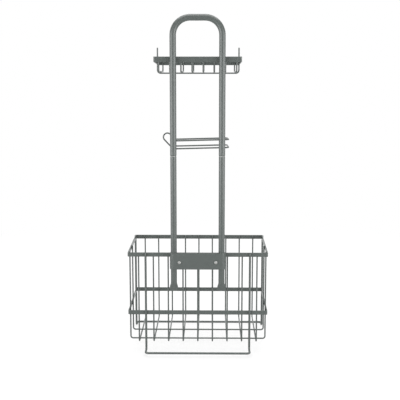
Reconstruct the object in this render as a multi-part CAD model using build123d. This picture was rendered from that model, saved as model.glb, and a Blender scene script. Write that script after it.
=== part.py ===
"""Hanging shower caddy: a wire basket, a soap tray and a wire holder on a two-part tube frame.

Millimetres, +Z up. The wall side is -Y and the front is +Y. The origin lies on the ground,
half way between the two stand bars. The front bar touches the ground.
"""
import math
import os

from build123d import *

# Fits and gaps
weld_gap = 0.02
running_gap = 0.05
loose_gap = 0.3

# Tube frame
tube_spacing = 78.0
hanger_tube_d = 10.4
lower_tube_d = 10.1
tube_wall = 1.0
overall_height = 554.0
hanger_bend_r = 27.0
joint_z = 331.2
joint_line = 0.3
joint_chamfer = 0.35
shoulder_chamfer = 0.6
spigot_length = 38.0
tube_end_z = 108.7
flat_length = 6.0
flat_thickness = 4.0
flare_length = 8.0
flat_lip = 0.2

# Basket
basket_width = 231.0
basket_depth = 148.0
rim_top_z = 171.5
band_height = 7.0
band_thickness = 1.6
band_inner_bend_r = 0.6
middle_band_z = 69.9
floor_bottom_z = 18.1
basket_wire_d = 2.4
basket_wire_count = 9
first_wire_inset = 17.9
wire_bend_r = 4.0
wire_end_inset = 0.6
rear_cross_offset = 9.7
middle_cross_offset = 56.5

# Stand bars under the basket
stand_bar_d = 3.6
stand_bend_r = 5.0
rear_leg_inset = 29.8
rear_bar_reach = 20.0
rear_bar_rise = 5.2
front_leg_turn_deg = 33.0
front_bar_reach = 18.0

# Clamp that holds the basket on the lower tubes
clamp_height = 27.2
clamp_bottom_z = 145.8
clamp_sheet = 1.5
clamp_wrap_deg = 38.0
strip_thickness = 2.0
strip_height = 21.0
screw_drop = 1.8
screw_d = 3.0
screw_head_d = 5.0
screw_head_height = 1.9
screw_head_round = 1.1
screw_end_reach = 2.0
recess_width = 0.7
recess_length = 2.6
recess_depth = 0.9

# Soap tray
tray_width = 140.6
tray_depth = 125.0
tray_band_z = 484.2
tray_band_height = 8.6
tray_band_thickness = 1.6
tray_front_drop = 4.4
tray_floor_bottom_z = 463.4
tray_wire_d = 2.4
tray_wire_count = 8
tray_first_wire_inset = 8.35
tray_wire_bend_r = 3.0
tray_cross_bend_r = 5.0
prong_top_z = 504.0

# Wire holder behind the tubes
holder_wire_d = 2.4
holder_upper_z = 355.9
holder_lower_z = 343.1
holder_rise = 2.0
holder_lower_back_rise = 1.4
holder_depth = 32.0
holder_right_reach = 11.0
holder_end_lean = 2.0
holder_bend_r = 4.0
loop_start_inset = 1.6
loop_end_reach = 6.1
loop_peak_reach = 11.2
loop_peak_rise = 12.8
loop_tip_reach = 20.3
loop_tip_rise = 3.5
loop_bend_r = 6.3

# Places that follow from the sizes, with the tubes' axes at Y = 0 until the parts are placed
tube_x = tube_spacing / 2
hanger_r = hanger_tube_d / 2
lower_r = lower_tube_d / 2
wire_r = basket_wire_d / 2
bar_r = stand_bar_d / 2
basket_rear_y = lower_r + loose_gap
basket_front_y = basket_rear_y + basket_depth
band_corner_r = band_inner_bend_r + band_thickness
wire_rear_y = basket_rear_y + band_thickness + weld_gap + wire_r
wire_front_y = basket_front_y - band_thickness - weld_gap - wire_r
floor_wire_z = floor_bottom_z + wire_r
wire_top_z = rim_top_z - wire_end_inset
wire_pitch = (basket_width - 2 * first_wire_inset) / (basket_wire_count - 1)
rear_leg_y = basket_rear_y - weld_gap - bar_r
front_leg_turn = math.radians(front_leg_turn_deg)
corner_to_leg = band_corner_r + weld_gap + bar_r
rear_leg_x = basket_width / 2 - rear_leg_inset
front_leg_x = basket_width / 2 - band_corner_r + corner_to_leg * math.sin(front_leg_turn)
front_leg_y = basket_front_y - band_corner_r + corner_to_leg * math.cos(front_leg_turn)
rear_bar_y = rear_leg_y - rear_bar_reach
front_bar_y = front_leg_y + front_bar_reach
origin_y = (rear_bar_y + front_bar_y) / 2
clamp_middle_z = clamp_bottom_z + clamp_height / 2
screw_z = clamp_middle_z - screw_drop
clamp_bore_r = lower_r + running_gap
clamp_outer_r = clamp_bore_r + clamp_sheet
strip_y = wire_rear_y + wire_r + weld_gap
wire_side_x = wire_pitch + wire_r
tube_side_x = tube_x - lower_r
screw_x = (wire_side_x + tube_side_x) / 2
tray_rear_y = hanger_r + weld_gap
tray_front_y = tray_rear_y + tray_depth
holder_front_y = hanger_r + weld_gap + holder_wire_d / 2


def rod(points, bend_r, diameter):
    """Bend a round rod along straight runs joined by arcs of one radius."""
    path = FilletPolyline(*points, radius=bend_r)
    start = Plane(origin=path @ 0, z_dir=path % 0)
    return sweep(start * Circle(diameter / 2), path=path)


def band_loop(width, depth, thickness, inner_bend_r, height):
    """Bend a flat bar on edge into a closed loop, centred on the origin."""
    outer = RectangleRounded(width, depth, inner_bend_r + thickness)
    inner = RectangleRounded(width - 2 * thickness, depth - 2 * thickness, inner_bend_r)
    return extrude(outer - inner, height / 2, both=True)


def edges_at(part, height, radius):
    """Pick the circular edges of one radius at one height."""
    circles = part.edges().filter_by(GeomType.CIRCLE)
    return [e for e in circles if abs(e.radius - radius) < 0.01 and abs(e.center().Z - height) < 0.01]


def hanger_tube():
    """Bend the upper tube into a hoop whose two ends slide over the lower tubes' spigots."""
    top = overall_height - hanger_r
    end = joint_z + joint_line
    points = [(-tube_x, 0, end), (-tube_x, 0, top), (tube_x, 0, top), (tube_x, 0, end)]
    outside = rod(points, hanger_bend_r, hanger_tube_d)
    bore = rod(points, hanger_bend_r, hanger_tube_d - 2 * tube_wall)
    tube = outside - bore
    return chamfer(edges_at(tube, end, hanger_r), joint_chamfer)


def lower_tube():
    """Make a lower tube: a reduced spigot on top, and an end pressed flat below the clamp.

    Pressing keeps the girth, so the end's width follows from its thickness.
    """
    spigot_r = hanger_r - tube_wall - running_gap
    flat_top = tube_end_z + flat_length
    round_bottom = flat_top + flare_length
    flat_width = flat_thickness + math.pi * (lower_tube_d - flat_thickness) / 2
    flat = SlotOverall(flat_width, flat_thickness)
    mouth = SlotOverall(flat_width - 2 * tube_wall, flat_thickness - 2 * tube_wall)
    end = extrude(Plane.XY.offset(tube_end_z) * (flat - mouth), flat_length)
    flare_sections = [
        Plane.XY.offset(flat_top) * Ellipse(flat_width / 2 - flat_lip, flat_thickness / 2 - flat_lip),
        Plane.XY.offset(round_bottom) * Circle(lower_r),
    ]
    flare = loft(flare_sections)
    shank = Plane.XY.offset(round_bottom) * Circle(lower_r)
    shank = extrude(shank, joint_z - round_bottom)
    shank = chamfer(edges_at(shank, joint_z, lower_r), shoulder_chamfer)
    spigot = extrude(Plane.XY.offset(joint_z) * Circle(spigot_r), spigot_length)
    bore_length = joint_z - tube_wall - round_bottom
    bore = extrude(Plane.XY.offset(round_bottom) * Circle(lower_r - tube_wall), bore_length)
    neck_length = spigot_length + 2 * tube_wall
    neck = extrude(Plane.XY.offset(joint_z - 2 * tube_wall) * Circle(spigot_r - tube_wall), neck_length)
    return end + flare + shank + spigot - bore - neck


def basket_wire(x):
    """Bend one long wire: down the rear face, along the floor and up the front face."""
    points = [
        (x, wire_rear_y, wire_top_z),
        (x, wire_rear_y, floor_wire_z),
        (x, wire_front_y, floor_wire_z),
        (x, wire_front_y, wire_top_z),
    ]
    return rod(points, wire_bend_r, basket_wire_d)


def basket_cross_wire(offset):
    """Bend one cross wire: down a side, over the floor wires and up the other side."""
    x = basket_width / 2 - band_thickness - weld_gap - wire_r
    y = wire_rear_y + offset
    z = floor_wire_z + basket_wire_d + weld_gap
    points = [(-x, y, wire_top_z), (-x, y, z), (x, y, z), (x, y, wire_top_z)]
    return rod(points, wire_bend_r, basket_wire_d)


def stand_bar(leg_x, leg_y, bar_y, rise):
    """Bend a heavy rod: two legs down a face, a step outwards and a bar a little above the ground."""
    z = rise + bar_r
    points = [
        (-leg_x, leg_y, wire_top_z),
        (-leg_x, leg_y, z),
        (-leg_x, bar_y, z),
        (leg_x, bar_y, z),
        (leg_x, leg_y, z),
        (leg_x, leg_y, wire_top_z),
    ]
    return rod(points, stand_bend_r, stand_bar_d)


def clamp_plate():
    """Form the clamp: a flat web whose two ends curl round the outer sides of the tubes."""
    web_y = -(clamp_bore_r + clamp_outer_r) / 2
    profile = Pos(0, web_y) * Rectangle(tube_spacing, clamp_sheet)
    ring = Circle(clamp_outer_r) - Circle(clamp_bore_r)
    far = 2 * clamp_outer_r
    wrap = math.radians(clamp_wrap_deg)
    lip = (far * math.cos(wrap), far * math.sin(wrap))
    sector = Polygon((0, 0), (0, -far), (far, -far), lip, align=None)
    curl = ring & sector
    profile = profile + Pos(tube_x, 0) * curl + mirror(Pos(tube_x, 0) * curl, about=Plane.YZ)
    plate = extrude(Plane.XY.offset(clamp_bottom_z) * profile, clamp_height)
    return plate - screw_holes(-far, 0)


def screw_holes(y_from, y_to):
    """Make the two clearance holes for the screws between two depths."""
    hole_r = screw_d / 2 + running_gap
    wall = Plane(origin=(0, y_from, screw_z), x_dir=(1, 0, 0), z_dir=(0, 1, 0))
    holes = [Pos(x, 0) * Circle(hole_r) for x in (-screw_x, screw_x)]
    return extrude(wall * Sketch(children=holes), y_to - y_from)


def clamp_strip():
    """Make the strip inside the basket, behind the rear wires, that the screws bite into."""
    middle = (0, strip_y + strip_thickness / 2, clamp_middle_z)
    strip = Pos(*middle) * Box(tube_spacing, strip_thickness, strip_height)
    corners = strip.edges().filter_by(Axis.Y)
    strip = fillet(corners, strip_thickness)
    return strip - screw_holes(strip_y - strip_thickness, strip_y + 2 * strip_thickness)


def clamp_screw(x):
    """Make one pan-head screw with a cross recess, its head on the clamp's outer face."""
    seat_y = -clamp_outer_r - weld_gap
    shank_length = strip_y + strip_thickness + screw_end_reach - seat_y
    head = extrude(Circle(screw_head_d / 2), -screw_head_height)
    head = fillet(head.faces().sort_by(Axis.Z)[0].edges(), screw_head_round)
    recess = Rectangle(recess_length, recess_width) + Rectangle(recess_width, recess_length)
    recess = extrude(Plane.XY.offset(-screw_head_height) * recess, recess_depth)
    shank = extrude(Circle(screw_d / 2), shank_length)
    screw = head + shank - recess
    return Plane(origin=(x, seat_y, screw_z), x_dir=(1, 0, 0), z_dir=(0, 1, 0)) * screw


def tray_band():
    """Bend the tray's flat bar into a loop that slopes down from the rear to the front."""
    slope = math.degrees(math.atan2(tray_front_drop, tray_depth))
    tall = tray_band_height + 4 * tray_front_drop
    loop = band_loop(tray_width, tray_depth, tray_band_thickness, band_inner_bend_r, tall)
    slab_height = tray_band_height * math.cos(math.radians(slope))
    slab = Rot(-slope, 0, 0) * Box(2 * tray_width, 2 * tray_depth, slab_height)
    middle_z = tray_band_z - tray_front_drop / 2
    return Pos(0, (tray_rear_y + tray_front_y) / 2, middle_z) * (loop & slab)


def tray_wire(x):
    """Bend one tray wire: down the rear, along the floor and up the lower front."""
    inset = tray_band_thickness + weld_gap + tray_wire_d / 2
    rear_y = tray_rear_y + inset
    front_y = tray_front_y - inset
    floor_z = tray_floor_bottom_z + tray_wire_d / 2
    rear_top = tray_band_z + tray_band_height / 2 - wire_end_inset
    front_top = rear_top - tray_front_drop
    points = [(x, rear_y, rear_top), (x, rear_y, floor_z), (x, front_y, floor_z), (x, front_y, front_top)]
    return rod(points, tray_wire_bend_r, tray_wire_d)


def tray_cross_wire():
    """Bend the tray's cross wire: under the floor wires, with its two ends standing up as prongs."""
    x = tray_width / 2 - tray_band_thickness - weld_gap - tray_wire_d / 2
    y = (tray_rear_y + tray_front_y) / 2
    z = tray_floor_bottom_z - weld_gap - tray_wire_d / 2
    points = [(-x, y, prong_top_z), (-x, y, z), (x, y, z), (x, y, prong_top_z)]
    return rod(points, tray_cross_bend_r, tray_wire_d)


def wire_holder():
    """Bend the holder from one wire: two hairpins behind the tubes, joined by a loop at the left.

    The whole holder rises a little from the left tube to the right one.
    """
    right_x = tube_x + holder_right_reach
    rear_x = right_x - holder_end_lean
    front_y = holder_front_y
    back_y = holder_front_y + holder_depth
    runs = [
        (-tube_x, front_y, holder_upper_z),
        (right_x, front_y, holder_upper_z),
        (rear_x, back_y, holder_upper_z),
        (-tube_x + loop_start_inset, back_y, holder_upper_z),
        (-tube_x - loop_peak_reach, back_y, holder_upper_z + loop_peak_rise),
        (-tube_x - loop_tip_reach, back_y, holder_upper_z + loop_tip_rise),
        (-tube_x - loop_end_reach, back_y, holder_lower_z + holder_lower_back_rise),
        (rear_x, back_y, holder_lower_z + holder_lower_back_rise),
        (right_x, front_y, holder_lower_z),
        (-tube_x, front_y, holder_lower_z),
    ]
    slope = holder_rise / tube_spacing
    points = [(x, y, z + slope * max(x, -tube_x)) for x, y, z in runs]
    radii = [holder_bend_r] * 3 + [loop_bend_r] * 2 + [holder_bend_r] * 3
    return rod(points, radii, holder_wire_d)


def spread(width, inset, count):
    """Give the places of evenly spaced wires across a width."""
    pitch = (width - 2 * inset) / (count - 1)
    return [inset - width / 2 + i * pitch for i in range(count)]


def basket_loop(middle_z):
    """Place one of the basket's two flat-bar loops at a height."""
    loop = band_loop(basket_width, basket_depth, band_thickness, band_inner_bend_r, band_height)
    return Pos(0, (basket_rear_y + basket_front_y) / 2, middle_z) * loop


parts = {
    "hanger_tube": hanger_tube(),
    "lower_tube_left": Pos(-tube_x, 0, 0) * lower_tube(),
    "lower_tube_right": Pos(tube_x, 0, 0) * lower_tube(),
    "clamp_plate": clamp_plate(),
    "clamp_strip": clamp_strip(),
    "clamp_screws": Compound(children=[clamp_screw(-screw_x), clamp_screw(screw_x)]),
    "basket_rim": basket_loop(rim_top_z - band_height / 2),
    "basket_middle_band": basket_loop(middle_band_z),
    "basket_cross_wire_rear": basket_cross_wire(rear_cross_offset),
    "basket_cross_wire_middle": basket_cross_wire(middle_cross_offset),
    "rear_stand_bar": stand_bar(rear_leg_x, rear_leg_y, rear_bar_y, rear_bar_rise),
    "front_stand_bar": stand_bar(front_leg_x, front_leg_y, front_bar_y, 0),
    "tray_band": tray_band(),
    "tray_cross_wire": tray_cross_wire(),
    "wire_holder": wire_holder(),
}
for number, x in enumerate(spread(basket_width, first_wire_inset, basket_wire_count), 1):
    parts[f"basket_wire_{number}"] = basket_wire(x)
for number, x in enumerate(spread(tray_width, tray_first_wire_inset, tray_wire_count), 1):
    parts[f"tray_wire_{number}"] = tray_wire(x)

os.makedirs("parts", exist_ok=True)
for name, solid in parts.items():
    export_step(Pos(0, -origin_y, 0) * solid, f"parts/{name}.step")
print(len(parts), "nodes, tube axes at Y", round(-origin_y, 3))
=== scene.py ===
# %% [markdown]
# # A hanging shower caddy in coated steel
# The caddy is a frame of two tubes with a hoop on top, a soap tray, a bent wire holder and a deep
# wire basket. The solid model already holds every piece at its real size. This lesson dresses it:
# each rod, bar and tube is made again as a smooth surface with the soft edges that a thick coat of
# powder paint gives, and stands exactly where its solid stands. The first step loads the solids and
# gives a way to read the box of each.

import math

import bpy
import numpy as np
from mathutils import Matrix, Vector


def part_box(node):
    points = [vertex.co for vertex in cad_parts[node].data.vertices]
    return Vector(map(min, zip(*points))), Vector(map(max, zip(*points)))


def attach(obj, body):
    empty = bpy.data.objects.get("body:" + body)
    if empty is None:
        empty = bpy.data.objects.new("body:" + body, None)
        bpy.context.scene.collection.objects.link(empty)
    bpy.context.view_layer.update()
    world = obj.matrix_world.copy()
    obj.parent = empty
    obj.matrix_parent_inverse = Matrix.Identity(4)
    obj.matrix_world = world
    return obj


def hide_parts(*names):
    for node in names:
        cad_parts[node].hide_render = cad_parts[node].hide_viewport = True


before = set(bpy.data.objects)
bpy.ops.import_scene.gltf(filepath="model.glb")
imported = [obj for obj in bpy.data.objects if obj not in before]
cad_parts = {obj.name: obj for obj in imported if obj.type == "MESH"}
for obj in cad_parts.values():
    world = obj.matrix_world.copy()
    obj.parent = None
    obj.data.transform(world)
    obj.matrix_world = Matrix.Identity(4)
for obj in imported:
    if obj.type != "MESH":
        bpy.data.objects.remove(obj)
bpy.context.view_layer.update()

# %% [markdown]
# ## The camera
# The photograph looks at the tube side from about the height of the soap tray, tilted a little
# down. The camera could be placed by eye. But lines that are parallel on the caddy draw together in
# the picture, and how fast they do so gives the lens and the distance. So it is placed by those
# measures, from the axis of the hoop, and follows the model.

# %% Place the camera
IMAGE_SIDE = 400
FOCAL_PIXELS = 824.7
SENSOR_MM = 36.0
CAMERA_DISTANCE = 1.3171
CAMERA_HEIGHT = 0.4684
CAMERA_SIDE = 0.0038
CAMERA_TILT = math.radians(9.0)
CAMERA_TURN = math.radians(0.7)


def sides_of(node):
    """Give a node's lowest and highest corners as arrays."""
    low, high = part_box(node)
    return np.array(low), np.array(high)


hoop_low, hoop_high = sides_of("hanger_tube")
hoop_y = (hoop_low[1] + hoop_high[1]) / 2
side = CAMERA_SIDE * math.cos(CAMERA_TURN) + CAMERA_DISTANCE * math.sin(CAMERA_TURN)
back = CAMERA_DISTANCE * math.cos(CAMERA_TURN) - CAMERA_SIDE * math.sin(CAMERA_TURN)
camera = bpy.data.objects.new("camera", bpy.data.cameras.new("camera"))
camera.data.sensor_width = SENSOR_MM
camera.data.lens = FOCAL_PIXELS / IMAGE_SIDE * SENSOR_MM
camera.location = (side, hoop_y - back, CAMERA_HEIGHT)
camera.rotation_euler = (math.pi / 2 - CAMERA_TILT, 0.0, CAMERA_TURN)
bpy.context.scene.collection.objects.link(camera)
bpy.context.scene.camera = camera
print("lens", round(camera.data.lens, 1), "mm at", [round(v, 3) for v in camera.location])

# %% [markdown]
# ## Writing shader maths as expressions
# A material is a tree of nodes. Linking each node by hand hides the idea, so one small class wraps
# a socket and lets plain `+` and `*` add the Math nodes. Every other node comes from one method,
# which takes the node's type, its settings and the values or links of its sockets.

# %% Sockets with operators


class Socket:
    """One output of a node tree. Arithmetic on it adds Math nodes to the same tree."""

    def __init__(self, tree, output):
        self.tree = tree
        self.output = output

    def node(self, kind, settings=None, result=0, **sockets):
        """Add a node, set its settings first and then its sockets, and give one of its outputs."""
        return add_node(self.tree, kind, settings, result, **sockets)

    def combine(self, operation, first, second):
        """Add one Math node with two inputs."""
        return self.node("ShaderNodeMath", {"operation": operation}, in_0=first, in_1=second)

    def __add__(self, other):
        return self.combine("ADD", self, other)

    def __radd__(self, other):
        return self.combine("ADD", other, self)

    def __mul__(self, other):
        return self.combine("MULTIPLY", self, other)

    def __rmul__(self, other):
        return self.combine("MULTIPLY", other, self)


def add_node(tree, kind, settings=None, result=0, **sockets):
    """Add one node. A socket is named as on the node with _ for a space, or in_0, in_1 by its place."""
    node = tree.nodes.new(kind)
    for key, value in (settings or {}).items():
        setattr(node, key, value)
    for key, value in sockets.items():
        place = int(key[3:]) if key.startswith("in_") else key.replace("_", " ")
        target = node.inputs[place]
        if isinstance(value, Socket):
            tree.links.new(value.output, target)
        else:
            target.default_value = value
    return Socket(tree, node.outputs[result]) if len(node.outputs) else node


def new_material(name):
    """Make an empty material and give its node tree."""
    material = bpy.data.materials.new(name)
    material.use_nodes = True
    material.node_tree.nodes.clear()
    return material, material.node_tree


print("shader helpers ready")

# %% [markdown]
# ## The powder coat
# The whole caddy wears one dark grey coat with a slight green cast. Powder paint melts into a skin
# that is never quite flat: it has a fine ripple like orange peel, and it is a little duller in some
# places than in others. A picture of paint could be wrapped round every piece, but each wire would
# have to be unwrapped for it. Three noises in the object's own space need none of that: a wide one
# for tone and gloss, a fine one for the ripple and a very fine one for the grain of the pigment.
# Where a mesh carries a number called worn, the paint is rubbed through to the steel.

# %% Grey coat
COAT_DARK = (0.052, 0.060, 0.0565, 1.0)
COAT_LIGHT = (0.078, 0.0915, 0.0865, 1.0)
BARE_STEEL = (0.60, 0.61, 0.60, 1.0)
WANDER_SCALE = 38.0
RIPPLE_SCALE = 950.0
GRAIN_SCALE = 4200.0
TONE_WANDER, TONE_GRAIN = 0.55, 0.45
BARE_WANDER, BARE_GRAIN = 0.8, 0.6
COAT_ROUGHNESS, ROUGH_WANDER, ROUGH_GRAIN = 0.22, 0.10, 0.05
GRAIN_HEIGHT = 0.35


def grey_coat():
    """Dark grey powder coat: tone and gloss wander over centimetres, the skin ripples at a millimetre."""
    material, tree = new_material("grey_coat")
    place = add_node(tree, "ShaderNodeTexCoord", result="Object")
    wander = place.node("ShaderNodeTexNoise", Vector=place, Scale=WANDER_SCALE, Detail=4.0, Roughness=0.6)
    ripple = place.node("ShaderNodeTexNoise", Vector=place, Scale=RIPPLE_SCALE, Detail=2.0, Roughness=0.5)
    grain = place.node("ShaderNodeTexNoise", Vector=place, Scale=GRAIN_SCALE, Detail=1.0, Roughness=0.5)
    worn = place.node("ShaderNodeAttribute", {"attribute_name": "worn"}, "Fac")
    bare = worn * (wander * BARE_WANDER + grain * BARE_GRAIN)
    tone = wander * TONE_WANDER + grain * TONE_GRAIN
    paint = place.node(
        "ShaderNodeMix", {"data_type": "RGBA"}, 2, in_0=tone, in_6=COAT_DARK, in_7=COAT_LIGHT
    )
    colour = place.node(
        "ShaderNodeMix", {"data_type": "RGBA"}, 2, in_0=bare, in_6=paint, in_7=BARE_STEEL
    )
    roughness = COAT_ROUGHNESS + wander * ROUGH_WANDER + grain * ROUGH_GRAIN
    height = ripple + grain * GRAIN_HEIGHT
    bump = place.node("ShaderNodeBump", Strength=0.30, Distance=0.00015, Height=height)
    coat = place.node(
        "ShaderNodeBsdfPrincipled",
        Base_Color=colour,
        Metallic=bare,
        Roughness=roughness,
        Normal=bump,
        IOR=1.5,
    )
    place.node("ShaderNodeOutputMaterial", Surface=coat)
    return material


coat = grey_coat()
print("made", coat.name)

# %% [markdown]
# ## Zinc on the screws
# The two clamp screws are brighter than the rest: bare steel under a thin layer of zinc. Zinc shows
# small pale and dull patches. It is built as the coat is, with metal in place of paint: the tone
# and the gloss follow a coarse noise, and fine turning marks ripple the surface.

# %% Bright zinc
ZINC_PALE = (0.44, 0.44, 0.43, 1.0)
ZINC_DULL = (0.30, 0.31, 0.30, 1.0)
PATCH_SCALE = 620.0
MARK_SCALE = 3600.0
ZINC_ROUGHNESS, ROUGH_PATCHES = 0.30, 0.16


def bright_zinc():
    """Zinc-plated steel: patches of pale and dull metal a millimetre or two wide, with fine marks."""
    material, tree = new_material("bright_zinc")
    place = add_node(tree, "ShaderNodeTexCoord", result="Object")
    patches = place.node("ShaderNodeTexNoise", Vector=place, Scale=PATCH_SCALE, Detail=3.0, Roughness=0.6)
    marks = place.node("ShaderNodeTexNoise", Vector=place, Scale=MARK_SCALE, Detail=2.0, Roughness=0.6)
    colour = place.node(
        "ShaderNodeMix", {"data_type": "RGBA"}, 2, in_0=patches, in_6=ZINC_DULL, in_7=ZINC_PALE
    )
    roughness = ZINC_ROUGHNESS + patches * ROUGH_PATCHES
    bump = place.node("ShaderNodeBump", Strength=0.15, Distance=0.0001, Height=marks)
    zinc = place.node(
        "ShaderNodeBsdfPrincipled", Base_Color=colour, Metallic=1.0, Roughness=roughness, Normal=bump
    )
    place.node("ShaderNodeOutputMaterial", Surface=zinc)
    return material


zinc = bright_zinc()
print("made", zinc.name)

# %% [markdown]
# ## Surfaces from arrays
# Every rod on the caddy is a circle carried along a path, and every bar is a rounded rectangle
# carried along a path. Blender's curve objects could do that too. Arrays are chosen because they
# let the ends, the edges and the shading be set point by point. The first helper rounds the corners
# of a path, as a bending machine does, and works on all corners at once.

# %% Rounded paths
BEND_STEPS = 10
GUARD = 0.0001


def unit(vectors):
    """Scale vectors to length one."""
    return vectors / np.linalg.norm(vectors, axis=-1, keepdims=True)


def rounded_path(corners, bend_radius):
    """Round the corners of a run of straight lines with arcs.

    At a corner with directions a and b and a turn t, the arc starts r tan(t/2) before the corner. Its
    point at angle q is start + r sin(q) a + r (1 - cos(q)) n, and its direction is cos(q) a + sin(q) n,
    where n is the part of b square to a. A guard point close before and after each arc keeps the straight
    runs shaded straight.
    """
    corners = np.asarray(corners, float)
    before = unit(corners[1:-1] - corners[:-2])
    after = unit(corners[2:] - corners[1:-1])
    cosine = np.sum(before * after, axis=1)
    turn = np.arccos(cosine)
    radius = np.broadcast_to(np.asarray(bend_radius, float), turn.shape)[:, None, None]
    inward = unit(after - before * cosine[:, None])[:, None, :]
    ahead = before[:, None, :]
    start = corners[1:-1, None, :] - ahead * radius * np.tan(turn / 2)[:, None, None]
    angle = (turn[:, None] * np.linspace(0.0, 1.0, BEND_STEPS + 1))[:, :, None]
    arcs = start + radius * (np.sin(angle) * ahead + (1 - np.cos(angle)) * inward)
    aims = np.cos(angle) * ahead + np.sin(angle) * inward
    lead_in = arcs[:, :1] - GUARD * ahead
    lead_out = arcs[:, -1:] + GUARD * aims[:, -1:]
    arcs = np.concatenate([lead_in, arcs, lead_out], axis=1)
    aims = np.concatenate([aims[:, :1], aims, aims[:, -1:]], axis=1)
    points = np.vstack([corners[:1], arcs.reshape(-1, 3), corners[-1:]])
    directions = np.vstack([before[:1], aims.reshape(-1, 3), after[-1:]])
    return points, directions


print("path helper ready")

# %% [markdown]
# ## Closed skins
# A grid of points becomes a mesh when each point is joined to its neighbours. The section closes on
# itself. The path closes too, as on a band, or gets a flat cap at each end. Each piece then rides
# on the body that it belongs to, and takes the place of its solid.

# %% Skins and bodies


def skin(name, grids, finish, closed_path=False):
    """Turn grids of points, stations by section points, into one mesh of closed skins.

    The section is always a ring. The path is either a loop or ends in flat caps.
    """
    grids = grids if grids.ndim == 4 else grids[None]
    index = np.arange(grids[..., 0].size).reshape(grids.shape[:3])
    caps = [] if closed_path else np.concatenate([index[:, 0, ::-1], index[:, -1]]).tolist()
    if closed_path:
        index = np.concatenate([index, index[:, :1]], axis=1)
    index = np.concatenate([index, index[:, :, :1]], axis=2)
    corners = [index[:, :-1, :-1], index[:, :-1, 1:], index[:, 1:, 1:], index[:, 1:, :-1]]
    quads = np.stack(corners, axis=-1).reshape(-1, 4)
    mesh = bpy.data.meshes.new(name)
    mesh.from_pydata(grids.reshape(-1, 3).tolist(), [], quads.tolist() + caps)
    mesh.shade_smooth()
    mesh.materials.append(finish)
    piece = bpy.data.objects.new(name, mesh)
    bpy.context.scene.collection.objects.link(piece)
    return piece


def wear(piece, body, slot, *nodes):
    """Let a piece ride on a body in place of the solids that it stands for."""
    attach(piece, body)
    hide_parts(*nodes)
    return piece


print("skin helpers ready")

# %% [markdown]
# ## Round rods
# A rod's end isn't cut square once it is coated: the paint draws back into a small dome. A bevel
# could round the end, but it would need a sharp cap first. Here a circle is carried along the path,
# and rows of an advance and a radius shape each end, so the same function also makes the open mouth
# of a tube.

# %% Rod and its ends
ROD_SIDES = 24
DOME_STEPS = 5
DOME_TIP = math.radians(12.0)
SIDEWAYS = np.array([0.37, 0.71, 0.60])  # no run on the caddy follows this direction


def dome(radius):
    """Rows of advance and radius for a domed end.

    At angle q the row lies r (1 - cos(q)) from the tip and is r sin(q) wide. A guard row follows.
    """
    angle = np.linspace(DOME_TIP, math.pi / 2, DOME_STEPS)
    rows = np.column_stack([radius * (1 - np.cos(angle)), radius * np.sin(angle)])
    return np.vstack([rows, [radius + GUARD, radius]])


def rod_grid(corners, bend_radius, radius, end_rows, sides=ROD_SIDES):
    """Carry a circle along a rounded path.

    The point at station s and angle v is C(s) + r(s) (cos(v) N(s) + sin(v) B(s)), where N and B are
    square to the path's direction. The end rows move the first and last stations in from the path's ends.
    """
    points, aims = rounded_path(corners, bend_radius)
    advance, width = end_rows[:, :1], end_rows[:, 1]
    first = points[:1] + advance * aims[:1]
    last = (points[-1:] - advance * aims[-1:])[::-1]
    centres = np.vstack([first, points[1:-1], last])
    first_aim = np.repeat(aims[:1], len(width), axis=0)
    last_aim = np.repeat(aims[-1:], len(width), axis=0)
    ahead = np.vstack([first_aim, aims[1:-1], last_aim])
    radii = np.concatenate([width, np.full(len(points) - 2, radius), width[::-1]])
    across = unit(np.cross(ahead, SIDEWAYS))
    along = np.cross(ahead, across)
    angle = np.linspace(0.0, 2 * math.pi, sides, endpoint=False)[None, :, None]
    ring = np.cos(angle) * across[:, None, :] + np.sin(angle) * along[:, None, :]
    return centres[:, None, :] + radii[:, None, None] * ring


def rod(name, corners, bend_radius, radius):
    """Make a solid rod with domed ends in the grey coat."""
    return skin(name, rod_grid(corners, bend_radius, radius, dome(radius)), coat)


print("rod helpers ready")

# %% [markdown]
# ## The basket's long wires
# Nine thin wires run down the rear face, along the floor and up the front face. Copies of one wire
# would do, but taking each from its own solid's box keeps them right if one is moved: the wire's
# thickness is the box's width, and its runs lie half a thickness inside the box.

# %% Long wires
WIRE_BEND = 0.004


def u_along_y(node):
    """Give the corners and radius of a U that lies in a plane across X."""
    low, high = sides_of(node)
    radius = (high[0] - low[0]) / 2
    x = (low[0] + high[0]) / 2
    rear, front, floor = low[1] + radius, high[1] - radius, low[2] + radius
    corners = [(x, rear, high[2]), (x, rear, floor), (x, front, floor), (x, front, high[2])]
    return corners, radius


def wires_named(prefix):
    """List the nodes whose name is a prefix and a number, in order."""
    names = [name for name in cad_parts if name.startswith(prefix)]
    return sorted(names, key=lambda name: int(name[len(prefix):]))


for node in wires_named("basket_wire_"):
    corners, radius = u_along_y(node)
    wire = rod(node.replace("basket_wire", "long_wire"), corners, WIRE_BEND, radius)
    wear(wire, "basket", "grey_coat", node)
print("long wires:", len(wires_named("basket_wire_")), "with a radius of", round(radius, 5), "m")

# %% [markdown]
# ## The cross wires
# Two more wires of the same thickness cross the basket from side to side, on top of the long ones.
# The tray has one too, but under its floor, and its two ends stand up above the tray as prongs.
# They could be turned copies of the long wires, but their lengths differ, so the same U is drawn
# again in the other plane.

# %% Cross wires
TRAY_CROSS_BEND = 0.005
CROSS_WIRES = {
    "basket_cross_wire_rear": "cross_wire_rear",
    "basket_cross_wire_middle": "cross_wire_middle",
}


def u_along_x(node):
    """Give the corners and radius of a U that lies in a plane across Y."""
    low, high = sides_of(node)
    radius = (high[1] - low[1]) / 2
    y = (low[1] + high[1]) / 2
    left, right, floor = low[0] + radius, high[0] - radius, low[2] + radius
    corners = [(left, y, high[2]), (left, y, floor), (right, y, floor), (right, y, high[2])]
    return corners, radius


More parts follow.
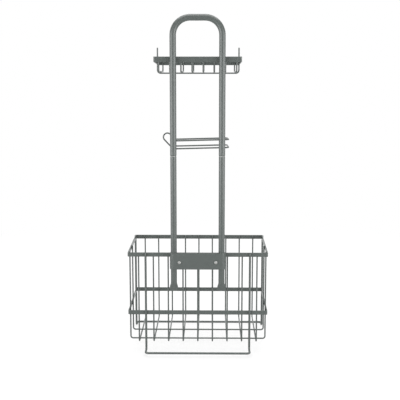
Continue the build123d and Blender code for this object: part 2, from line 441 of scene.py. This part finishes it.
for node, name in CROSS_WIRES.items():
    corners, radius = u_along_x(node)
    wear(rod(name, corners, WIRE_BEND, radius), "basket", "grey_coat", node)
corners, radius = u_along_x("tray_cross_wire")
wear(rod("prong_wire", corners, TRAY_CROSS_BEND, radius), "hanger", "grey_coat", "tray_cross_wire")
print("cross wires made, prongs to", round(corners[0][2], 4), "m")

# %% [markdown]
# ## The stand bars
# Two heavier bars carry the basket: legs down its rear and front faces, a step outwards and a bar
# along the ground. Straight rods joined at the corners would show seams in the gloss, so each bar
# is one rod with rounded corners.

# %% Stand bars
STAND_BEND = 0.005
STAND_RADIUS = 0.0018


def stand_corners(node, outwards):
    """Give the corners of a stand bar that steps outwards along -Y or +Y."""
    low, high = sides_of(node)
    left, right = low[0] + STAND_RADIUS, high[0] - STAND_RADIUS
    ground = low[2] + STAND_RADIUS
    near, far = low[1] + STAND_RADIUS, high[1] - STAND_RADIUS
    leg, bar = (far, near) if outwards < 0 else (near, far)
    return [
        (left, leg, high[2]),
        (left, leg, ground),
        (left, bar, ground),
        (right, bar, ground),
        (right, leg, ground),
        (right, leg, high[2]),
    ]


rear_bar = rod("rear_bar", stand_corners("rear_stand_bar", -1), STAND_BEND, STAND_RADIUS)
wear(rear_bar, "basket", "grey_coat", "rear_stand_bar")
front_bar = rod("front_bar", stand_corners("front_stand_bar", 1), STAND_BEND, STAND_RADIUS)
wear(front_bar, "basket", "grey_coat", "front_stand_bar")
rear_reach = sides_of("rear_stand_bar")[0][1]
front_reach = sides_of("front_stand_bar")[1][1]
print("stand bars reach from", round(rear_reach, 4), "to", round(front_reach, 4), "m")

# %% [markdown]
# ## Flat bars on edge
# The basket's rim and middle band and the tray's band are flat bars bent round on edge and closed
# with a weld. A frame cut from a block would give the shape too. Carrying a rounded rectangle round
# a loop keeps the painted edge equally soft all round, and lets a band slope. A pair of points
# close beside each rounding keeps the flats flat when they are shaded smooth.

# %% Bar profile and loops
EDGE_RADIUS = 0.00045
EDGE_STEPS = 4
FLAT_GUARD = 0.00012
BAR_THICKNESS = 0.0016
BAR_INNER_BEND = 0.0006


def bar_profile(width, height):
    """Points of a rounded rectangle, outwards and up, in the order that faces the skin outwards.

    A corner is its centre + e (cos(q), sin(q)), and the other three corners are its mirror images.
    """
    angle = np.linspace(0.0, math.pi / 2, EDGE_STEPS + 1)
    quarter = EDGE_RADIUS * np.column_stack([np.cos(angle), np.sin(angle)])
    centre = np.array([width / 2 - EDGE_RADIUS, height / 2 - EDGE_RADIUS])
    corner = centre + quarter
    corner = np.vstack([corner[:1] - [0.0, FLAT_GUARD], corner, corner[-1:] - [FLAT_GUARD, 0.0]])
    flipped = corner[::-1]
    ring = np.vstack([corner, flipped * [-1, 1], corner * [-1, -1], flipped * [1, -1]])
    return ring[::-1]


def loop_path(half_x, half_y, bend_radius):
    """Points and outward directions of a rounded rectangle.

    Each corner is a quarter circle: centre + r (cos(q), sin(q)), with a guard point on each side of it.
    """
    quarter = np.linspace(0.0, math.pi / 2, BEND_STEPS + 1)
    angle = quarter[None, :] + np.arange(4)[:, None] * math.pi / 2
    out = np.stack([np.cos(angle), np.sin(angle)], axis=-1)
    signs = np.array([[1, 1], [-1, 1], [-1, -1], [1, -1]])
    centre = signs * [half_x - bend_radius, half_y - bend_radius]
    points = centre[:, None, :] + bend_radius * out
    ahead = np.stack([-out[..., 1], out[..., 0]], axis=-1)
    lead_in = points[:, :1] - GUARD * ahead[:, :1]
    lead_out = points[:, -1:] + GUARD * ahead[:, -1:]
    points = np.concatenate([lead_in, points, lead_out], axis=1)
    out = np.concatenate([out[:, :1], out, out[:, -1:]], axis=1)
    return points.reshape(-1, 2), out.reshape(-1, 2)


def bar_loop(name, node, height, drop=0.0):
    """Carry a bar round its solid's box.

    A point is the path + w out, raised by the profile's height h. The loop may slope down evenly by a
    drop from the rear to the front.
    """
    low, high = sides_of(node)
    middle = (low + high) / 2
    half = (high - low) / 2 - BAR_THICKNESS / 2
    path, out = loop_path(half[0], half[1], BAR_INNER_BEND + BAR_THICKNESS / 2)
    profile = bar_profile(BAR_THICKNESS, height)
    flat = path[:, None, :] + out[:, None, :] * profile[None, :, :1]
    level = middle[2] - drop * flat[:, :, 1:] / (high[1] - low[1]) + profile[None, :, 1:]
    grid = np.concatenate([flat + middle[:2], level], axis=-1)
    return skin(name, grid, coat, closed_path=True)


print("bar helpers ready")

# %% [markdown]
# ## The three bands
# The basket has a band at its rim and one lower down, both level. The tray's band is taller and
# falls towards the front. How far it falls is what its box is higher than the bar, so it is read
# from the box and not written again.

# %% Bands
BAND_HEIGHT = 0.007
TRAY_BAND_HEIGHT = 0.0086
tray_low, tray_high = sides_of("tray_band")
tray_drop = tray_high[2] - tray_low[2] - TRAY_BAND_HEIGHT
rim_bar = bar_loop("rim_bar", "basket_rim", BAND_HEIGHT)
wear(rim_bar, "basket", "grey_coat", "basket_rim")
middle_bar = bar_loop("middle_bar", "basket_middle_band", BAND_HEIGHT)
wear(middle_bar, "basket", "grey_coat", "basket_middle_band")
tray_bar = bar_loop("tray_bar", "tray_band", TRAY_BAND_HEIGHT, tray_drop)
wear(tray_bar, "hanger", "grey_coat", "tray_band")
print("bars made; the tray slopes by", round(tray_drop * 1000, 2), "mm")

# %% [markdown]
# ## The soap tray's wires
# The tray's wires have the same U shape as the basket's, but the front end is lower, because the
# band slopes. So the same function serves again: the box gives the rear end, and the drop of the
# band moves the front one.

# %% Tray wires
TRAY_BEND = 0.003

for node in wires_named("tray_wire_"):
    corners, radius = u_along_y(node)
    x, front, top = corners[3]
    corners[3] = (x, front, top - tray_drop)
    wire = rod(node.replace("tray_wire", "soap_wire"), corners, TRAY_BEND, radius)
    wear(wire, "hanger", "grey_coat", node)
print("tray wires:", len(wires_named("tray_wire_")))

# %% [markdown]
# ## The wire holder
# One springy wire makes the holder: two hairpins lie one above the other behind the tubes, and a
# loop at the left joins them. Bent by hand, it isn't quite level: it rises a little to the right,
# and its lower back wire sits high. It could be drawn freehand as a curve, but named corners and
# bends can be measured against the photograph. The reach to the right and the depth come from the
# solid's box.

# %% Holder
HOLDER_RADIUS = 0.0012
HOLDER_BEND = 0.004
LOOP_BEND = 0.0063
HOLDER_UPPER = 0.3559
HOLDER_LOWER = 0.3431
HOLDER_RISE = 0.002
LOWER_BACK_RISE = 0.0014
HOLDER_LEAN = 0.002
LOOP_START_INSET = 0.0016
LOOP_END_REACH = 0.0061
LOOP_PEAK = (0.0112, 0.0128)
LOOP_TIP = (0.0203, 0.0035)

hanger_r = (hoop_high[1] - hoop_low[1]) / 2
tube_x = (hoop_high[0] - hoop_low[0]) / 2 - hanger_r
holder_low, holder_high = sides_of("wire_holder")
right = holder_high[0] - HOLDER_RADIUS
near, far = holder_low[1] + HOLDER_RADIUS, holder_high[1] - HOLDER_RADIUS
lower_back = HOLDER_LOWER + LOWER_BACK_RISE
holder_corners = np.array([
    (-tube_x, near, HOLDER_UPPER),
    (right, near, HOLDER_UPPER),
    (right - HOLDER_LEAN, far, HOLDER_UPPER),
    (-tube_x + LOOP_START_INSET, far, HOLDER_UPPER),
    (-tube_x - LOOP_PEAK[0], far, HOLDER_UPPER + LOOP_PEAK[1]),
    (-tube_x - LOOP_TIP[0], far, HOLDER_UPPER + LOOP_TIP[1]),
    (-tube_x - LOOP_END_REACH, far, lower_back),
    (right - HOLDER_LEAN, far, lower_back),
    (right, near, HOLDER_LOWER),
    (-tube_x, near, HOLDER_LOWER),
])
holder_corners[:, 2] += HOLDER_RISE / (2 * tube_x) * np.maximum(holder_corners[:, 0], -tube_x)
holder_bends = [HOLDER_BEND] * 3 + [LOOP_BEND] * 2 + [HOLDER_BEND] * 3
holder = rod("holder_wire", holder_corners, holder_bends, HOLDER_RADIUS)
wear(holder, "hanger", "grey_coat", "wire_holder")
print("holder from", round(holder_low[0], 4), "to", round(holder_high[0], 4), "m")

# %% [markdown]
# ## The hoop
# The upper tube is bent into a hoop and open at both ends, where it slides over the lower tubes.
# Straight and bent pieces could be joined, but a seam would show in the gloss. So it is one rod
# like the others, whose end rows start deep in the bore, come out to the mouth, turn over the lip
# and go on outside.

# %% Hoop
HOOP_BEND = 0.027
TUBE_WALL = 0.001
BORE_DEPTH = 0.045
LIP_CHAMFER = 0.00035
LIP_ROUND = 0.0002
LIP_RUN = 0.0012
TUBE_SIDES = 48

bore_r = hanger_r - TUBE_WALL
lip = np.array([
    (BORE_DEPTH, bore_r),
    (LIP_CHAMFER, bore_r),
    (0.0, bore_r + LIP_ROUND),
    (0.0, hanger_r - LIP_CHAMFER),
    (LIP_CHAMFER / 3, hanger_r - LIP_CHAMFER / 3),
    (LIP_CHAMFER, hanger_r),
    (LIP_RUN, hanger_r),
])
top = hoop_high[2] - hanger_r
hoop_corners = [
    (-tube_x, hoop_y, hoop_low[2]),
    (-tube_x, hoop_y, top),
    (tube_x, hoop_y, top),
    (tube_x, hoop_y, hoop_low[2]),
]
hoop = skin("hoop_tube", rod_grid(hoop_corners, HOOP_BEND, hanger_r, lip, TUBE_SIDES), coat)
wear(hoop, "hanger", "grey_coat", "hanger_tube")
print("hoop legs", round(2 * tube_x * 1000, 1), "mm apart, joint at", round(hoop_low[2], 4), "m")

# %% [markdown]
# ## The lower tubes
# Each lower tube is round, but its bottom end was squeezed flat in a press, so that it can't slip
# up through the clamp. Squeezing keeps the girth, so the end is wider than the tube. A cylinder
# could be squeezed by a lattice, but its width would only be near. From ring to ring the section
# goes from a circle to a flat lozenge: a superellipse does both, with a power that grows from 2.
# The rings start inside the mouth that the press left open and end on the spigot that the hoop
# slides over.

# %% Lower tube rings
JOINT_LINE = 0.0003
RUNNING_GAP = 0.00005
FLAT_LENGTH = 0.006
FLARE_LENGTH = 0.008
FLAT_HALF = 0.002
FLAT_POWER = 3.6
SHOULDER = 0.0006
FLARE_STEPS = 12
EASE_DEPTH = np.array([0.0, 0.0002, 0.0006])  # three rows that soften a square end
EASE_INSET = EASE_DEPTH[::-1]


def lower_tube_grid(node):
    """Rings of a superellipse up a tube.

    The point at height z and angle v is (a |cos(v)|^(2/n), b |sin(v)|^(2/n)) with the signs of the cosine
    and the sine. The half widths a and b and the power n follow the height.
    """
    low, high = sides_of(node)
    middle = (low + high) / 2
    round_r = (high[1] - low[1]) / 2
    wide = (high[0] - low[0]) / 2
    joint = hoop_low[2] - JOINT_LINE
    spigot_r = bore_r - RUNNING_GAP
    part = np.linspace(0.0, 1.0, FLARE_STEPS + 1)
    blend = part * part * (3 - 2 * part)
    flare_z = low[2] + FLAT_LENGTH + FLARE_LENGTH * part
    tip_z = low[2] + np.concatenate([[FLAT_LENGTH, LIP_ROUND, 0.0], EASE_DEPTH])
    tip_inset = np.concatenate([[TUBE_WALL, TUBE_WALL, TUBE_WALL - LIP_ROUND], EASE_INSET])
    top_z, top_r = np.transpose([
        (joint - SHOULDER - GUARD, round_r),
        (joint - SHOULDER, round_r),
        (joint - SHOULDER / 3, round_r - SHOULDER / 3),
        (joint, round_r - SHOULDER),
        (joint, spigot_r),
        (high[2] - LIP_CHAMFER, spigot_r),
        (high[2], spigot_r - LIP_CHAMFER),
    ])
    heights = np.concatenate([tip_z, flare_z, top_z])
    half_x = np.concatenate([wide - tip_inset, wide + (round_r - wide) * blend, top_r])
    half_y = np.concatenate([FLAT_HALF - tip_inset, FLAT_HALF + (round_r - FLAT_HALF) * blend, top_r])
    flare_power = FLAT_POWER + (2 - FLAT_POWER) * blend
    power = np.concatenate([np.full(len(tip_z), FLAT_POWER), flare_power, np.full(len(top_z), 2.0)])
    angle = np.linspace(0.0, 2 * math.pi, TUBE_SIDES, endpoint=False)[None, :]
    cosine, sine = np.cos(angle), np.sin(angle)
    bend = 2 / power[:, None]
    x = middle[0] + half_x[:, None] * np.sign(cosine) * np.abs(cosine) ** bend
    y = middle[1] + half_y[:, None] * np.sign(sine) * np.abs(sine) ** bend
    return np.stack([x, y, np.broadcast_to(heights[:, None], x.shape)], axis=-1)


print("tube helper ready")

# %% [markdown]
# ## Paint rubbed off at the joint
# Where the tube steps in to the spigot, the paint is rubbed bright by plugging the hoop on and off.
# A ring of bare steel could be a piece of its own, but on the real tube it is only worn paint. So a
# number on the mesh, one on the rows of the step and zero elsewhere, tells the coat where it is
# worn.

# %% Both lower tubes
SHOULDER_ROWS = slice(-6, -3)  # the rows of the step, counted from the top of the spigot

for side_name in ("left", "right"):
    tube_grid = lower_tube_grid(f"lower_tube_{side_name}")
    tube = skin(f"plug_tube_{side_name}", tube_grid, coat)
    worn = np.zeros(tube_grid.shape[:2])
    worn[SHOULDER_ROWS] = 1.0
    mark = tube.data.attributes.new("worn", "FLOAT", "POINT")
    mark.data.foreach_set("value", worn.ravel())
    wear(tube, "lower_tubes", "grey_coat", f"lower_tube_{side_name}")
print("lower tubes made of", tube_grid.shape[0], "rings each")

# %% [markdown]
# ## The clamp
# The clamp is a strip of sheet whose ends curl round the outer sides of both tubes. A flat sheet
# could be bent and thickened with modifiers, but its edges would stay sharp. So its section, a thin
# upright bar with rounded edges, is carried along the curl, the flat web and the other curl.

# %% Clamp plate
CLAMP_SHEET = 0.0015
CLAMP_WRAP = math.radians(38.0)
CURL_STEPS = 19

plate_low, plate_high = sides_of("clamp_plate")
curl_r = plate_high[0] - tube_x - CLAMP_SHEET / 2
left_turn = np.linspace(math.pi - CLAMP_WRAP, 1.5 * math.pi, CURL_STEPS)
right_turn = np.linspace(-0.5 * math.pi, CLAMP_WRAP, CURL_STEPS)
turn = np.concatenate([left_turn, right_turn])
curl_middle = np.repeat([[-tube_x, hoop_y], [tube_x, hoop_y]], CURL_STEPS, axis=0)
plate_out = np.column_stack([np.cos(turn), np.sin(turn)])
plate_path = curl_middle + curl_r * plate_out
web_ends = [CURL_STEPS - 1, CURL_STEPS]
web_guards = plate_path[web_ends] + [[GUARD, 0.0], [-GUARD, 0.0]]
plate_path = np.insert(plate_path, [CURL_STEPS, CURL_STEPS], web_guards, axis=0)
plate_out = np.insert(plate_out, [CURL_STEPS, CURL_STEPS], plate_out[web_ends], axis=0)
plate_profile = bar_profile(CLAMP_SHEET, plate_high[2] - plate_low[2])
plate_flat = plate_path[:, None, :] + plate_out[:, None, :] * plate_profile[None, :, :1]
plate_z = (plate_low[2] + plate_high[2]) / 2 + plate_profile[None, :, 1:]
plate_up = np.broadcast_to(plate_z, plate_flat[:, :, :1].shape)
plate = skin("clamp_sheet", np.concatenate([plate_flat, plate_up], axis=-1), coat)
wear(plate, "basket", "grey_coat", "clamp_plate")
print("clamp sheet made, curled to a radius of", round(curl_r, 5), "m")

# %% [markdown]
# ## The strip inside the basket
# A second strip, behind the rear wires, takes the screws. It is a straight bar with the same
# rounded section, and three rows at each end draw the section in, so that the ends are soft too.

# %% Strip
strip_low, strip_high = sides_of("clamp_strip")
strip_middle, strip_size = (strip_low + strip_high) / 2, strip_high - strip_low
strip_profile = bar_profile(strip_size[1], strip_size[2])
strip_x = np.concatenate([strip_low[0] + EASE_DEPTH, strip_high[0] - EASE_DEPTH[::-1]])
strip_inset = np.concatenate([EASE_INSET, EASE_INSET[::-1]])
strip_section = strip_profile[None] - np.sign(strip_profile)[None] * strip_inset[:, None, None]
strip_grid = np.stack([
    np.broadcast_to(strip_x[:, None], strip_section.shape[:2]),
    strip_middle[1] - strip_section[..., 0],
    strip_middle[2] + strip_section[..., 1],
], axis=-1)
strip = skin("clamp_back_strip", strip_grid, coat)
wear(strip, "basket", "grey_coat", "clamp_strip")
print("strip made,", round(strip_size[0], 4), "m long")

# %% [markdown]
# ## The clamp's screws
# Two pan-head screws go through the plate, between the wires and into the strip. One polar grid
# makes a whole screw: it starts at the middle of the head, runs out over the rounded rim, in under
# the head and down the shank to a threaded end. Cutting the cross with another solid would leave
# long thin faces, so the points inside two crossed slots are lowered instead.

# %% Screw shape
HEAD_HEIGHT = 0.0019
HEAD_ROUND = 0.0011
RECESS_HALF_WIDTH = 0.00035
RECESS_HALF_LENGTH = 0.0013
RECESS_DEPTH = 0.0007
RECESS_SLOPE = 0.00014
SHANK_R = 0.0015
THREAD_DEPTH = 0.00018
THREAD_PITCH = 0.0005
THREAD_LENGTH = 0.0035
THREAD_STEPS = 8
TIP_SHARE = 0.8
HEAD_MIDDLE = 0.00004
HEAD_RINGS = 30
RIM_STEPS = 8
SCREW_SIDES = 72


def slot_share(half, place):
    """One within a slot's half size, zero outside it, and a steep slope between."""
    return np.clip((half - np.abs(place)) / RECESS_SLOPE + 0.5, 0.0, 1.0)


def screw_grid(x, seat, end, z, head_r):
    """Rings round a screw's axis, from the head's middle to the shank's tip.

    On the head the point at radius r is lowered by the recess where it lies in one of two crossed slots.
    On the thread the radius is R - d (1 - cos(v - 2 pi s / p)) / 2 at angle v and distance s along it.
    """
    flat_r = head_r - HEAD_ROUND
    rim = np.linspace(0.0, math.pi / 2, RIM_STEPS + 1)[1:]
    flat_rings = np.linspace(HEAD_MIDDLE, flat_r, HEAD_RINGS)
    head_radius = np.concatenate([flat_rings, flat_r + HEAD_ROUND * np.sin(rim)])
    head_depth = np.concatenate([np.zeros(HEAD_RINGS), HEAD_ROUND * (1 - np.cos(rim))])
    thread_s = np.arange(0.0, THREAD_LENGTH, THREAD_PITCH / THREAD_STEPS)
    thread_start = end - THREAD_LENGTH
    shank_radius = np.full(len(thread_s), SHANK_R)
    neck_radius = [head_r, SHANK_R, SHANK_R]
    neck_depth = [seat, seat, thread_start - GUARD]
    head_depth = seat - HEAD_HEIGHT + head_depth
    radius = np.concatenate([head_radius, neck_radius, shank_radius, [SHANK_R * TIP_SHARE]])
    depth = np.concatenate([head_depth, neck_depth, thread_start + thread_s, [end]])
    angle = np.linspace(0.0, 2 * math.pi, SCREW_SIDES, endpoint=False)[None, :]
    cut = np.zeros((len(radius), SCREW_SIDES))
    thread_turn = 2 * math.pi * thread_s[:, None] / THREAD_PITCH
    cut[-1 - len(thread_s):-1] = (1 - np.cos(angle - thread_turn)) / 2
    ring = radius[:, None] - THREAD_DEPTH * cut
    across, up = ring * np.cos(angle), ring * np.sin(angle)
    slot_x = slot_share(RECESS_HALF_LENGTH, across) * slot_share(RECESS_HALF_WIDTH, up)
    slot_z = slot_share(RECESS_HALF_WIDTH, across) * slot_share(RECESS_HALF_LENGTH, up)
    pressed = np.maximum(slot_x, slot_z)
    pressed[len(head_radius):] = 0.0
    along = depth[:, None] + RECESS_DEPTH * pressed
    return np.stack([x - across, along, z + up], axis=-1)


print("screw helper ready")

# %% [markdown]
# ## Both screws
# The heads' size, the seat under them and the screws' ends come from the solids' box. The two
# screws are one solid node, so they are one mesh here too.

# %% Place the screws
screw_low, screw_high = sides_of("clamp_screws")
head_r = (screw_high[2] - screw_low[2]) / 2
seat = screw_low[1] + HEAD_HEIGHT
screw_z = (screw_low[2] + screw_high[2]) / 2
screw_x = screw_high[0] - head_r
screw_end = screw_high[1]
screw_pair = [screw_grid(x, seat, screw_end, screw_z, head_r) for x in (-screw_x, screw_x)]
screws = skin("pan_screws", np.stack(screw_pair), zinc)
wear(screws, "basket", "screw_steel", "clamp_screws")
print("screws at", round(screw_x * 1000, 2), "mm each side")

# %% [markdown]
# ## Weld beads
# Where a wire meets a band, a spot weld squeezes out a little metal, and the coat fills the corner
# round it. Joining the pieces and rounding every crossing would cost many faces. A small flattened
# ball at every meeting point gives the same soft corner, and all the beads of a body are one mesh.

# %% Bead helpers
BEAD_TIP = math.radians(25.0)
BEAD_RINGS = 6
BEAD_SIDES = 10
WIRE_BEAD = (0.0014, 0.00075, 0.0026)
CROSSING_BEAD = (0.0013, 0.0013, 0.0006)


def beads(name, places):
    """Make flattened balls at many places.

    The point of a ball is c + h (sin(u) cos(v), sin(u) sin(v), cos(u)) for its centre c and size h.
    """
    centres, sizes = (np.array(column, float)[:, None, None, :] for column in zip(*places))
    rise = np.linspace(math.pi - BEAD_TIP, BEAD_TIP, BEAD_RINGS)[:, None]
    angle = np.linspace(0.0, 2 * math.pi, BEAD_SIDES, endpoint=False)[None, :]
    upright = np.broadcast_to(np.cos(rise), (BEAD_RINGS, BEAD_SIDES))
    ball = np.stack([np.sin(rise) * np.cos(angle), np.sin(rise) * np.sin(angle), upright], axis=-1)
    return skin(name, centres + sizes * ball, coat)


def middle_of(node):
    """Give the middle of a node's box."""
    low, high = sides_of(node)
    return (low + high) / 2


def face_beads(wires, band, slope=0.0):
    """Places where wires that run in Y meet the inner faces of a band, which may slope."""
    level = middle_of(band)[2]
    places = []
    for node in wires:
        low, high = sides_of(node)
        x = (low[0] + high[0]) / 2
        places.append(((x, low[1], level + slope / 2), WIRE_BEAD))
        places.append(((x, high[1], level - slope / 2), WIRE_BEAD))
    return places


def side_beads(node, band):
    """Places where a wire that runs in X meets the inner sides of a band."""
    low, high = sides_of(node)
    y = middle_of(node)[1]
    level = middle_of(band)[2]
    turned = (WIRE_BEAD[1], WIRE_BEAD[0], WIRE_BEAD[2])
    return [((low[0], y, level), turned), ((high[0], y, level), turned)]


def crossing_beads(wires, cross, level):
    """Places where wires along Y cross one along X, at the height where they touch."""
    y = middle_of(cross)[1]
    return [((middle_of(node)[0], y, level), CROSSING_BEAD) for node in wires]


print("bead helpers ready")

# %% [markdown]
# ## Beads on the basket
# The basket's wires are welded to both bands and to each other, and the stand bars' legs to the
# bands' outer faces.

# %% Basket beads
LEG_BEAD = (0.0019, 0.0009, 0.0028)
LEG_SINK = 0.0004
LEG_INSET = 0.001

basket_wires = wires_named("basket_wire_")
basket_places = []
for band in ("basket_rim", "basket_middle_band"):
    low, high = sides_of(band)
    level = middle_of(band)[2]
    basket_places += face_beads(basket_wires, band)
    for cross in CROSS_WIRES:
        basket_places += side_beads(cross, band)
    for bar, leg_y in (("rear_stand_bar", low[1]), ("front_stand_bar", high[1] - LEG_SINK)):
        leg_x = min(sides_of(bar)[1][0] - STAND_RADIUS, high[0] - LEG_INSET)
        basket_places += [((x, leg_y, level), LEG_BEAD) for x in (-leg_x, leg_x)]
wire_low, wire_high = sides_of(basket_wires[0])
floor_top = wire_low[2] + wire_high[0] - wire_low[0]
for cross in CROSS_WIRES:
    basket_places += crossing_beads(basket_wires, cross, floor_top)
basket_beads = beads("basket_weld_beads", basket_places)
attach(basket_beads, "basket")
print("weld beads on the basket:", len(basket_places))

# %% [markdown]
# ## Beads on the hanger
# The tray's wires are welded in the same way, and the tray's band and the holder are welded to both
# tubes.

# %% Hanger beads
TRAY_SEAT_BEAD = (0.0024, 0.0007, 0.0034)
HOLDER_BEAD = (0.0026, 0.0008, 0.0015)

tray_wires = wires_named("tray_wire_")
tray_floor = sides_of(tray_wires[0])[0][2]
tray_places = face_beads(tray_wires, "tray_band", tray_drop)
tray_places += side_beads("tray_cross_wire", "tray_band")
tray_places += crossing_beads(tray_wires, "tray_cross_wire", tray_floor)
tube_back = hoop_y + hanger_r
tray_rear_z = middle_of("tray_band")[2] + tray_drop / 2
for x in (-tube_x, tube_x):
    tilt = HOLDER_RISE / 2 * math.copysign(1.0, x)
    tray_places.append(((x, tube_back, tray_rear_z), TRAY_SEAT_BEAD))
    tray_places.append(((x, tube_back, HOLDER_UPPER + tilt), HOLDER_BEAD))
    tray_places.append(((x, tube_back, HOLDER_LOWER + tilt), HOLDER_BEAD))
tray_beads = beads("tray_weld_beads", tray_places)
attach(tray_beads, "hanger")
print("weld beads on the hanger:", len(tray_places))

# %% [markdown]
# ## The floor
# The photograph's ground is plain white. Strong lamps would make a floor white, but they would
# bleach the caddy too. So the floor shows white to the camera and to reflections, and throws only
# the light of pale paper on the caddy. Near the caddy it also shows a part of the lamps' light,
# because only a floor that is lit can show a shadow.

# %% Floor
WHITE = (1.0, 1.0, 1.0, 1.0)
FLOOR_PAPER = (0.8, 0.8, 0.8, 1.0)
FLOOR_HALF = 6.0
FLOOR_GLOW = 1.0
SHADOW_SHARE = 0.28
SHADOW_NEAR = 0.25
SHADOW_FAR = 1.1


def seen_directly(tree):
    """One where the camera, a reflection or a view through glass looks at this surface, else zero."""
    camera_ray = add_node(tree, "ShaderNodeLightPath", result="Is Camera Ray")
    glossy_ray = add_node(tree, "ShaderNodeLightPath", result="Is Glossy Ray")
    glass_ray = add_node(tree, "ShaderNodeLightPath", result="Is Transmission Ray")
    total = camera_ray + glossy_ray + glass_ray
    return total.combine("MINIMUM", total, 1.0)


def white_floor():
    """White to the eye, with a part of the lamps' light left in near the caddy to keep its shadow."""
    material, tree = new_material("white_floor")
    seen = seen_directly(tree)
    place = add_node(tree, "ShaderNodeTexCoord", result="Object")
    away = place.node("ShaderNodeVectorMath", {"operation": "LENGTH"}, "Value", in_0=place)
    fade = away.node(
        "ShaderNodeMapRange",
        {"interpolation_type": "SMOOTHSTEP"},
        in_0=away,
        in_1=SHADOW_NEAR,
        in_2=SHADOW_FAR,
        in_3=1.0 - SHADOW_SHARE,
        in_4=1.0,
    )
    paper = seen.node("ShaderNodeBsdfDiffuse", Color=FLOOR_PAPER)
    glow = seen.node("ShaderNodeEmission", Color=WHITE, Strength=FLOOR_GLOW)
    mixed = seen.node("ShaderNodeMixShader", in_0=seen * fade, in_1=paper, in_2=glow)
    seen.node("ShaderNodeOutputMaterial", Surface=mixed)
    return material


floor_mesh = bpy.data.meshes.new("floor")
floor_square = [(-1, -1), (1, -1), (1, 1), (-1, 1)]
floor_corners = [(FLOOR_HALF * x, FLOOR_HALF * y, 0.0) for x, y in floor_square]
floor_mesh.from_pydata(floor_corners, [], [(0, 1, 2, 3)])
floor_mesh.materials.append(white_floor())
floor = bpy.data.objects.new("floor", floor_mesh)
bpy.context.scene.collection.objects.link(floor)
print("floor made,", 2 * FLOOR_HALF, "m wide")

# %% [markdown]
# ## The sky
# Behind the caddy the photograph is white as well. A backdrop could stand there, but it would serve
# one view only. So the sky itself is white to the camera and to reflections, and gives the caddy
# only a dim, even light.

# %% Sky
SKY_LIGHT = 0.06


def white_sky():
    """White to the eye, and a plain dim light on the caddy."""
    world = bpy.data.worlds.new("white_sky")
    world.use_nodes = True
    tree = world.node_tree
    tree.nodes.clear()
    seen = seen_directly(tree)
    shown = seen * (1.0 - SKY_LIGHT) + SKY_LIGHT
    sky = seen.node("ShaderNodeBackground", Color=WHITE, Strength=shown)
    seen.node("ShaderNodeOutputWorld", Surface=sky)
    return world


bpy.context.scene.world = white_sky()
print("sky set to", bpy.context.scene.world.name)

# %% [markdown]
# ## The lamps
# A picture of a studio could light the scene, but a few panels are easier to place and to follow.
# Two wide ones stand to the left and right of the camera: they draw the two pale stripes down each
# tube, with a dark one between. A panel overhead lights the top of the hoop, and one behind lights
# the far side. That one is kept out of reflections, so that the tubes keep their dark edges seen
# from the front.

# %% Lamps
PANEL_POWER = 13.6
PANEL_SIZE = (1.5, 0.7)
PANEL_DISTANCE = 1.15
PANEL_TURN = math.radians(57.0)
PANEL_HEIGHT = 0.37
CEILING_POWER = 65.0
CEILING_SIZE = (2.8, 2.8)
CEILING_HEIGHT = 2.2
REAR_POWER = 20.0
REAR_SIZE = (1.6, 1.0)
REAR_DISTANCE = 1.3
REAR_HEIGHT = 0.30


def panel(name, power, size, place, aim):
    """Hang a soft rectangular lamp at a place, turned by the given angles, and give its object."""
    light = bpy.data.lights.new(name, "AREA")
    light.shape = "RECTANGLE"
    light.size, light.size_y = size
    light.energy = power
    stand = bpy.data.objects.new(name, light)
    stand.location = place
    stand.rotation_euler = aim
    bpy.context.scene.collection.objects.link(stand)
    return stand


for panel_name, turn in (("left_panel", -PANEL_TURN), ("right_panel", PANEL_TURN)):
    place = (PANEL_DISTANCE * math.sin(turn), hoop_y - PANEL_DISTANCE * math.cos(turn), PANEL_HEIGHT)
    panel(panel_name, PANEL_POWER, PANEL_SIZE, place, (math.pi / 2, 0.0, turn))
panel("ceiling_panel", CEILING_POWER, CEILING_SIZE, (0.0, 0.0, CEILING_HEIGHT), (0.0, 0.0, 0.0))
rear_place = (0.0, hoop_y + REAR_DISTANCE, REAR_HEIGHT)
rear_panel = panel("rear_panel", REAR_POWER, REAR_SIZE, rear_place, (math.pi / 2, 0.0, math.pi))
rear_panel.visible_glossy = False
rear_panel.visible_camera = False
bpy.context.scene.view_settings.view_transform = "Standard"
print("lamps hung:", len(bpy.data.lights))

# %% [markdown]
# ## The end
# The dressed caddy has to fit the solids' box.

# %% Finish
print("caddy dressed")
